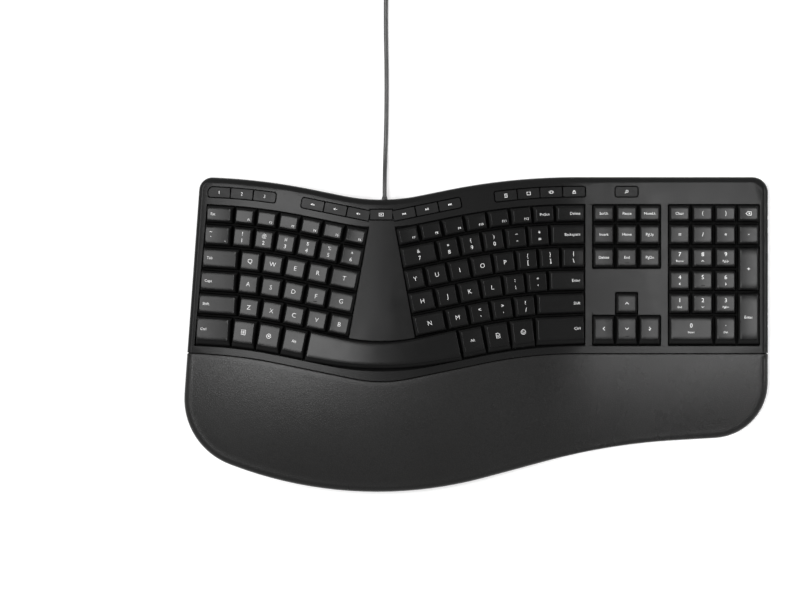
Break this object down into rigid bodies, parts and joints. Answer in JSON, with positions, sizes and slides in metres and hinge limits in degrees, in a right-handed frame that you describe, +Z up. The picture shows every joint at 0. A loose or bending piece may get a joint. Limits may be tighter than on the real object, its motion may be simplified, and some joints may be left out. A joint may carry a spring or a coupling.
{
  "type": "ergonomic keyboard",
  "caption": "Wired split keyboard with a domed gull-wing key layout, arrow and number pads, shortcut keys, padded palm rest and flip legs.",
  "frame": {"origin": "on the desk plane, under the middle of the keyboard's own outline without its cord", "axes": "+X to the user's right, +Y away from the user, +Z up"},
  "size_m": [0.4851, 0.4707, 0.041],
  "materials": {
    "case_plastic": "fine spark-eroded grain",
    "base_plastic": "moulded, satin",
    "key_plastic": "fine grain, printed legends",
    "hot_key_plastic": "fine grain, printed symbols",
    "inner_plastic": "moulded",
    "dome_rubber": "translucent silicone",
    "membrane_film": "printed polyester film",
    "plate_metal": "rolled sheet",
    "palm_leather": "fine-grained leatherette over foam",
    "foot_rubber": "soft, slightly grained",
    "screw_steel": "zinc plated",
    "board_laminate": "solder mask",
    "chip_plastic": "moulded",
    "cord_jacket": "satin",
    "tie_plastic": "soft",
    "grip_plastic": "moulded",
    "plug_metal": "nickel plated",
    "lamp_lens": "clear diffuser"
  },
  "bodies": {
    "case": {"top_case": "case_plastic", "bottom_case": "base_plastic", "key_frame": "inner_plastic", "rubber_dome_sheet": "dome_rubber", "membrane_sheet": "membrane_film", "backing_plate": "plate_metal", "palm_rest_pad": "palm_leather", "palm_rest_base": "inner_plastic", "rubber_feet": "foot_rubber", "case_screws": "screw_steel", "controller_board": "board_laminate", "board_components": "chip_plastic", "cable_boot": "cord_jacket", "cable_lead": "cord_jacket", "cable_coil": "cord_jacket", "cable_tail": "cord_jacket", "coil_tie": "tie_plastic", "plug_grip": "grip_plastic", "plug_shell": "plug_metal"},
    "escape_key": {"escape_key": "key_plastic"},
    "accent_key": {"accent_key": "key_plastic"},
    "tab_key": {"tab_key": "key_plastic"},
    "caps_lock_key": {"caps_lock_key": "key_plastic", "caps_lock_lamp": "lamp_lens"},
    "left_shift_key": {"left_shift_key": "key_plastic"},
    "left_ctrl_key": {"left_ctrl_key": "key_plastic"},
    "left_modifier_keys": {"left_modifier_keys": "key_plastic"},
    "q_column_keys": {"q_column_keys": "key_plastic"},
    "w_column_keys": {"w_column_keys": "key_plastic"},
    "e_column_keys": {"e_column_keys": "key_plastic"},
    "r_column_keys": {"r_column_keys": "key_plastic"},
    "t_column_keys": {"t_column_keys": "key_plastic"},
    "y_column_keys": {"y_column_keys": "key_plastic"},
    "u_column_keys": {"u_column_keys": "key_plastic"},
    "i_column_keys": {"i_column_keys": "key_plastic"},
    "o_column_keys": {"o_column_keys": "key_plastic"},
    "p_column_keys": {"p_column_keys": "key_plastic"},
    "bracket_column_keys": {"bracket_column_keys": "key_plastic"},
    "end_column_keys": {"end_column_keys": "key_plastic"},
    "backspace_key": {"backspace_key": "key_plastic"},
    "enter_key": {"enter_key": "key_plastic"},
    "right_shift_key": {"right_shift_key": "key_plastic"},
    "right_ctrl_key": {"right_ctrl_key": "key_plastic"},
    "right_modifier_keys": {"right_modifier_keys": "key_plastic"},
    "navigation_keys": {"navigation_keys": "key_plastic"},
    "up_arrow_key": {"up_arrow_key": "key_plastic"},
    "left_arrow_key": {"left_arrow_key": "key_plastic"},
    "down_arrow_key": {"down_arrow_key": "key_plastic"},
    "right_arrow_key": {"right_arrow_key": "key_plastic"},
    "numpad_keys": {"numpad_keys": "key_plastic"},
    "numpad_zero_key": {"numpad_zero_key": "key_plastic"},
    "numpad_plus_key": {"numpad_plus_key": "key_plastic"},
    "numpad_enter_key": {"numpad_enter_key": "key_plastic"},
    "space_bar": {"space_bar": "key_plastic"},
    "shortcut_keys": {"shortcut_keys": "hot_key_plastic"},
    "media_keys": {"media_keys": "hot_key_plastic"},
    "tool_keys": {"tool_keys": "hot_key_plastic"},
    "search_key": {"search_key": "hot_key_plastic"},
    "left_flip_leg": {"left_flip_leg": "base_plastic"},
    "right_flip_leg": {"right_flip_leg": "base_plastic"}
  },
  "joints": [
    {"name": "escape_travel", "type": "slide", "parent": "case", "child": "escape_key", "axis": [0.1938, 0, -0.981], "range_m": [0, 0.0023], "stiffness_N_per_m": 400, "springref_m": -0.0005},
    {"name": "accent_travel", "type": "slide", "parent": "case", "child": "accent_key", "axis": [0.1961, 0, -0.9806], "range_m": [0, 0.0023], "stiffness_N_per_m": 400, "springref_m": -0.0005},
    {"name": "tab_travel", "type": "slide", "parent": "case", "child": "tab_key", "axis": [0.1931, 0, -0.9812], "range_m": [0, 0.0023], "stiffness_N_per_m": 400, "springref_m": -0.0005},
    {"name": "caps_lock_travel", "type": "slide", "parent": "case", "child": "caps_lock_key", "axis": [0.1955, 0, -0.9807], "range_m": [0, 0.0023], "stiffness_N_per_m": 400, "springref_m": -0.0005},
    {"name": "left_shift_travel", "type": "slide", "parent": "case", "child": "left_shift_key", "axis": [0.1963, 0, -0.9805], "range_m": [0, 0.0023], "stiffness_N_per_m": 400, "springref_m": -0.0005},
    {"name": "left_ctrl_travel", "type": "slide", "parent": "case", "child": "left_ctrl_key", "axis": [0.2017, 0, -0.9794], "range_m": [0, 0.0023], "stiffness_N_per_m": 400, "springref_m": -0.0005},
    {"name": "left_modifier_travel", "type": "slide", "parent": "case", "child": "left_modifier_keys", "axis": [0.1342, 0, -0.991], "range_m": [0, 0.0023], "stiffness_N_per_m": 1200, "springref_m": -0.0005},
    {"name": "q_column_travel", "type": "slide", "parent": "case", "child": "q_column_keys", "axis": [0.1603, 0, -0.9871], "range_m": [0, 0.0023], "stiffness_N_per_m": 2000, "springref_m": -0.0005},
    {"name": "w_column_travel", "type": "slide", "parent": "case", "child": "w_column_keys", "axis": [0.1335, 0, -0.991], "range_m": [0, 0.0023], "stiffness_N_per_m": 2000, "springref_m": -0.0005},
    {"name": "e_column_travel", "type": "slide", "parent": "case", "child": "e_column_keys", "axis": [0.1068, 0, -0.9943], "range_m": [0, 0.0023], "stiffness_N_per_m": 2000, "springref_m": -0.0005},
    {"name": "r_column_travel", "type": "slide", "parent": "case", "child": "r_column_keys", "axis": [0.0802, 0, -0.9968], "range_m": [0, 0.0023], "stiffness_N_per_m": 2000, "springref_m": -0.0005},
    {"name": "t_column_travel", "type": "slide", "parent": "case", "child": "t_column_keys", "axis": [0.0467, 0, -0.9989], "range_m": [0, 0.0023], "stiffness_N_per_m": 2800, "springref_m": -0.0005},
    {"name": "y_column_travel", "type": "slide", "parent": "case", "child": "y_column_keys", "axis": [-0.045, 0, -0.999], "range_m": [0, 0.0023], "stiffness_N_per_m": 2000, "springref_m": -0.0005},
    {"name": "u_column_travel", "type": "slide", "parent": "case", "child": "u_column_keys", "axis": [-0.0751, 0, -0.9972], "range_m": [0, 0.0023], "stiffness_N_per_m": 2000, "springref_m": -0.0005},
    {"name": "i_column_travel", "type": "slide", "parent": "case", "child": "i_column_keys", "axis": [-0.1021, 0, -0.9948], "range_m": [0, 0.0023], "stiffness_N_per_m": 2000, "springref_m": -0.0005},
    {"name": "o_column_travel", "type": "slide", "parent": "case", "child": "o_column_keys", "axis": [-0.1292, 0, -0.9916], "range_m": [0, 0.0023], "stiffness_N_per_m": 2000, "springref_m": -0.0005},
    {"name": "p_column_travel", "type": "slide", "parent": "case", "child": "p_column_keys", "axis": [-0.1563, 0, -0.9877], "range_m": [0, 0.0023], "stiffness_N_per_m": 2000, "springref_m": -0.0005},
    {"name": "bracket_column_travel", "type": "slide", "parent": "case", "child": "bracket_column_keys", "axis": [-0.1795, 0, -0.9838], "range_m": [0, 0.0023], "stiffness_N_per_m": 1600, "springref_m": -0.0005},
    {"name": "end_column_travel", "type": "slide", "parent": "case", "child": "end_column_keys", "axis": [-0.1298, 0, -0.9915], "range_m": [0, 0.0023], "stiffness_N_per_m": 1600, "springref_m": -0.0005},
    {"name": "backspace_travel", "type": "slide", "parent": "case", "child": "backspace_key", "axis": [-0.1018, 0, -0.9948], "range_m": [0, 0.0023], "stiffness_N_per_m": 400, "springref_m": -0.0005},
    {"name": "enter_travel", "type": "slide", "parent": "case", "child": "enter_key", "axis": [-0.1045, 0, -0.9945], "range_m": [0, 0.0023], "stiffness_N_per_m": 400, "springref_m": -0.0005},
    {"name": "right_shift_travel", "type": "slide", "parent": "case", "child": "right_shift_key", "axis": [-0.1242, 0, -0.9923], "range_m": [0, 0.0023], "stiffness_N_per_m": 400, "springref_m": -0.0005},
    {"name": "right_ctrl_travel", "type": "slide", "parent": "case", "child": "right_ctrl_key", "axis": [-0.1257, 0, -0.9921], "range_m": [0, 0.0023], "stiffness_N_per_m": 400, "springref_m": -0.0005},
    {"name": "right_modifier_travel", "type": "slide", "parent": "case", "child": "right_modifier_keys", "axis": [-0.1393, 0, -0.9902], "range_m": [0, 0.0023], "stiffness_N_per_m": 1200, "springref_m": -0.0005},
    {"name": "navigation_travel", "type": "slide", "parent": "case", "child": "navigation_keys", "axis": [0, 0, -1], "range_m": [0, 0.0023], "stiffness_N_per_m": 3600, "springref_m": -0.0005},
    {"name": "up_arrow_travel", "type": "slide", "parent": "case", "child": "up_arrow_key", "axis": [0, 0, -1], "range_m": [0, 0.0023], "stiffness_N_per_m": 400, "springref_m": -0.0005},
    {"name": "left_arrow_travel", "type": "slide", "parent": "case", "child": "left_arrow_key", "axis": [0, 0, -1], "range_m": [0, 0.0023], "stiffness_N_per_m": 400, "springref_m": -0.0005},
    {"name": "down_arrow_travel", "type": "slide", "parent": "case", "child": "down_arrow_key", "axis": [0, 0, -1], "range_m": [0, 0.0023], "stiffness_N_per_m": 400, "springref_m": -0.0005},
    {"name": "right_arrow_travel", "type": "slide", "parent": "case", "child": "right_arrow_key", "axis": [0, 0, -1], "range_m": [0, 0.0023], "stiffness_N_per_m": 400, "springref_m": -0.0005},
    {"name": "numpad_travel", "type": "slide", "parent": "case", "child": "numpad_keys", "axis": [0, 0, -1], "range_m": [0, 0.0023], "stiffness_N_per_m": 7200, "springref_m": -0.0005},
    {"name": "numpad_zero_travel", "type": "slide", "parent": "case", "child": "numpad_zero_key", "axis": [0, 0, -1], "range_m": [0, 0.0023], "stiffness_N_per_m": 400, "springref_m": -0.0005},
    {"name": "numpad_plus_travel", "type": "slide", "parent": "case", "child": "numpad_plus_key", "axis": [0, 0, -1], "range_m": [0, 0.0023], "stiffness_N_per_m": 400, "springref_m": -0.0005},
    {"name": "numpad_enter_travel", "type": "slide", "parent": "case", "child": "numpad_enter_key", "axis": [0, 0, -1], "range_m": [0, 0.0023], "stiffness_N_per_m": 400, "springref_m": -0.0005},
    {"name": "space_bar_travel", "type": "slide", "parent": "case", "child": "space_bar", "axis": [0, 0, -1], "range_m": [0, 0.0023], "stiffness_N_per_m": 450, "springref_m": -0.0005, "deforming": ["rubber_dome_sheet"]},
    {"name": "shortcut_travel", "type": "slide", "parent": "case", "child": "shortcut_keys", "axis": [0.1668, 0, -0.986], "range_m": [0, 0.0008], "stiffness_N_per_m": 2100, "springref_m": -0.0003},
    {"name": "media_travel", "type": "slide", "parent": "case", "child": "media_keys", "axis": [0, 0, -1], "range_m": [0, 0.0008], "stiffness_N_per_m": 4900, "springref_m": -0.0003},
    {"name": "tool_travel", "type": "slide", "parent": "case", "child": "tool_keys", "axis": [-0.1407, 0, -0.9901], "range_m": [0, 0.0008], "stiffness_N_per_m": 2800, "springref_m": -0.0003},
    {"name": "search_travel", "type": "slide", "parent": "case", "child": "search_key", "axis": [0, 0, -1], "range_m": [0, 0.0008], "stiffness_N_per_m": 700, "springref_m": -0.0003},
    {"name": "left_flip_leg_hinge", "type": "hinge", "parent": "case", "child": "left_flip_leg", "pos_m": [-0.16, -0.042, 0.0038], "axis": [1, 0, 0], "range_deg": [0, 95]},
    {"name": "right_flip_leg_hinge", "type": "hinge", "parent": "case", "child": "right_flip_leg", "pos_m": [0.15, -0.042, 0.0038], "axis": [1, 0, 0], "range_deg": [0, 95]}
  ]
}
